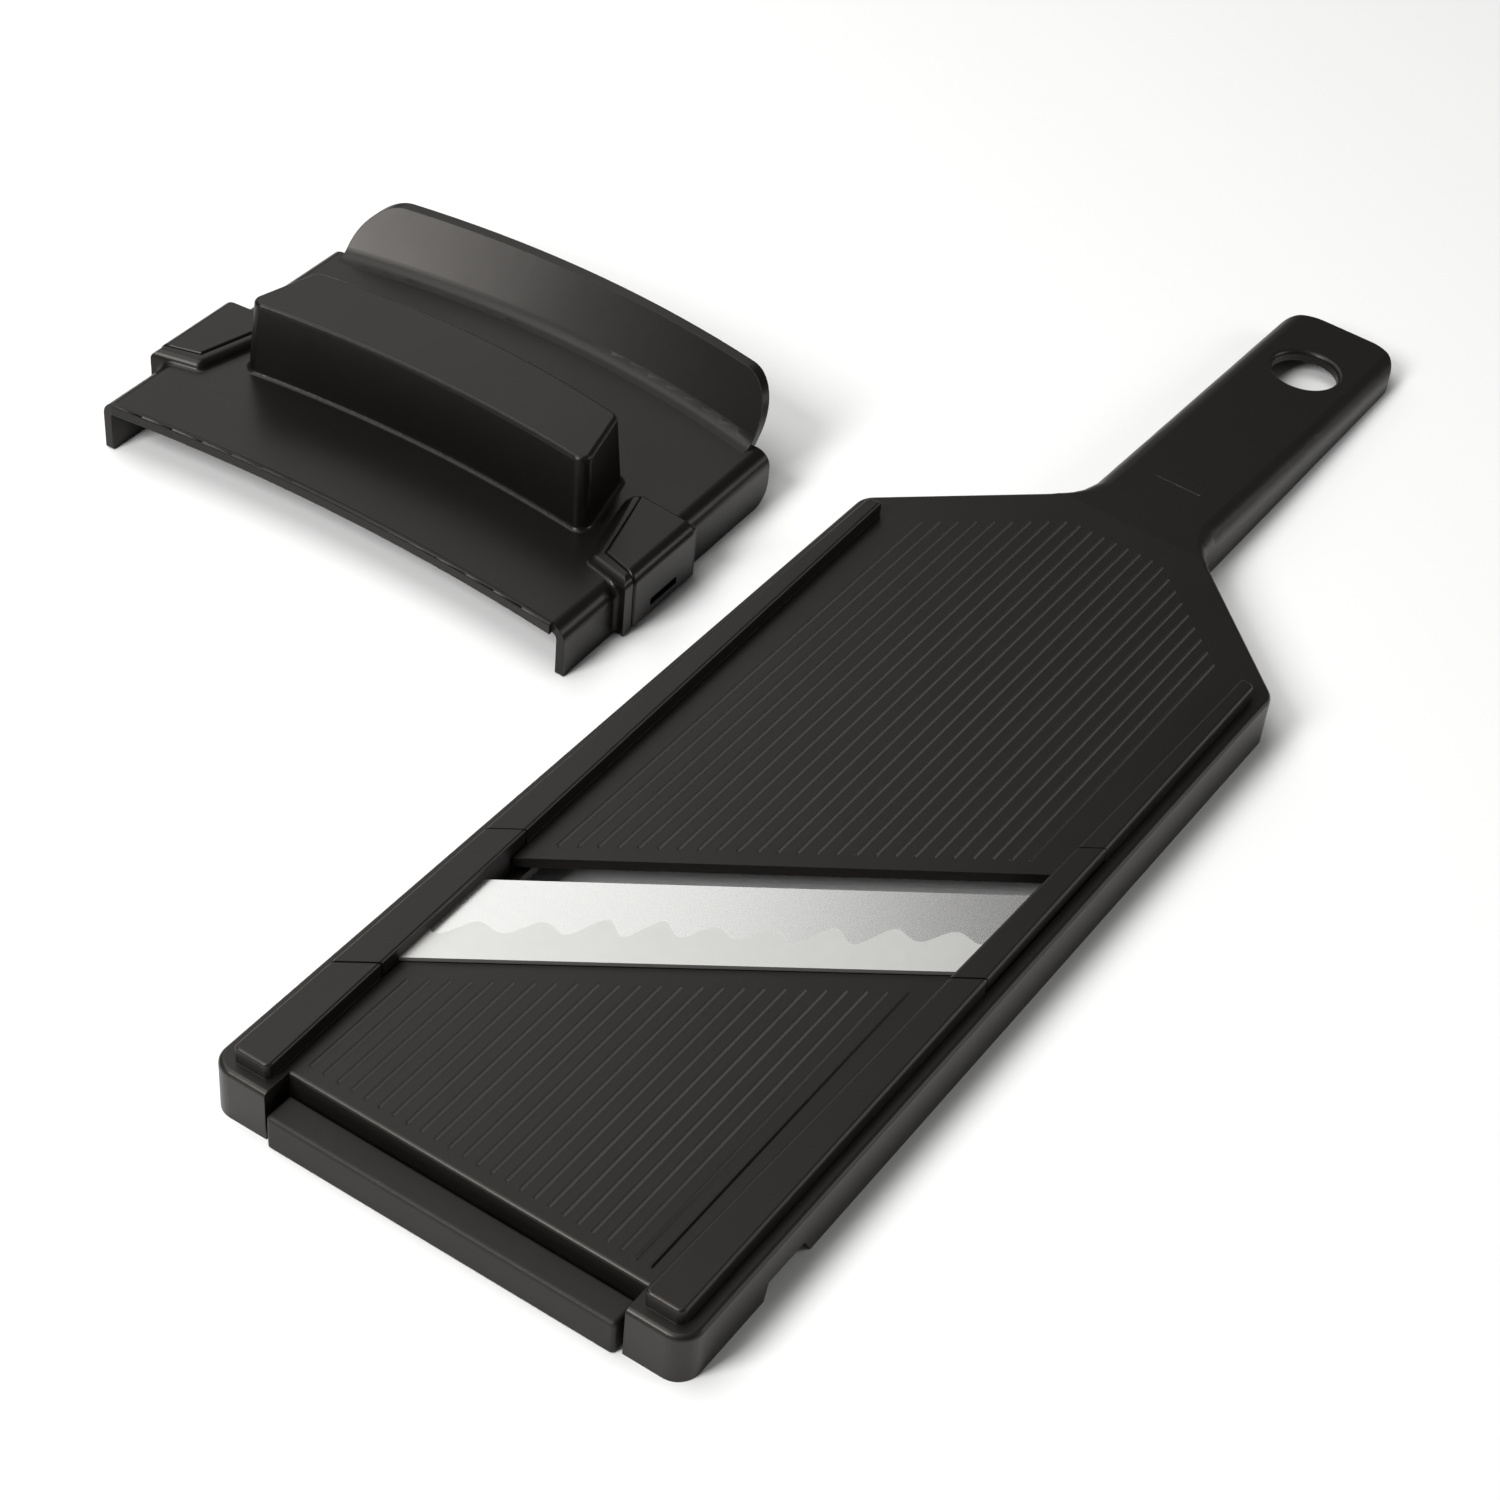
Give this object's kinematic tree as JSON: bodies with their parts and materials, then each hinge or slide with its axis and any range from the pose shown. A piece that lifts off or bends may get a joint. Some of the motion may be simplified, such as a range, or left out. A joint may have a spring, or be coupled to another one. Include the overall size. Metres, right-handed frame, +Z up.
{
  "type": "mandoline slicer",
  "caption": "Flat hand-held mandoline slicer with a diagonal blade insert, ribbed deck, guide rails, hanging handle and a separate food guard.",
  "frame": {"origin": "middle of the tip face of the skirt, on the resting plane under the front bar", "axes": "+Y from the tip to the handle, +X to the right seen from above with the handle away, +Z up"},
  "size_m": [0.2714, 0.3823, 0.0332],
  "materials": {
    "black_plastic": "fine satin moulding",
    "guard_plastic": "satin moulding",
    "bar_elastomer": "matte",
    "blade_steel": "polished with a matte wave pattern",
    "pin_steel": "polished"
  },
  "bodies": {
    "slicer": {"body": "black_plastic", "front_bar": "bar_elastomer"},
    "insert": {"blade_carrier": "black_plastic", "blade": "blade_steel"},
    "guard": {"guard_shell": "guard_plastic", "guard_clip_left": "guard_plastic", "guard_clip_right": "guard_plastic", "pin_plate": "guard_plastic", "food_pin_1": "pin_steel", "food_pin_2": "pin_steel", "food_pin_3": "pin_steel", "food_pin_4": "pin_steel", "food_pin_5": "pin_steel", "food_pin_6": "pin_steel", "food_pin_7": "pin_steel", "food_pin_8": "pin_steel"}
  },
  "joints": [
    {"name": "insert_lift", "type": "slide", "parent": "slicer", "child": "insert", "axis": [0, 0, 1], "range_m": [0, 0.02]},
    {"name": "guard_lift", "type": "slide", "parent": "slicer", "child": "guard", "axis": [0, 0, 1], "range_m": [0, 0.06]}
  ]
}
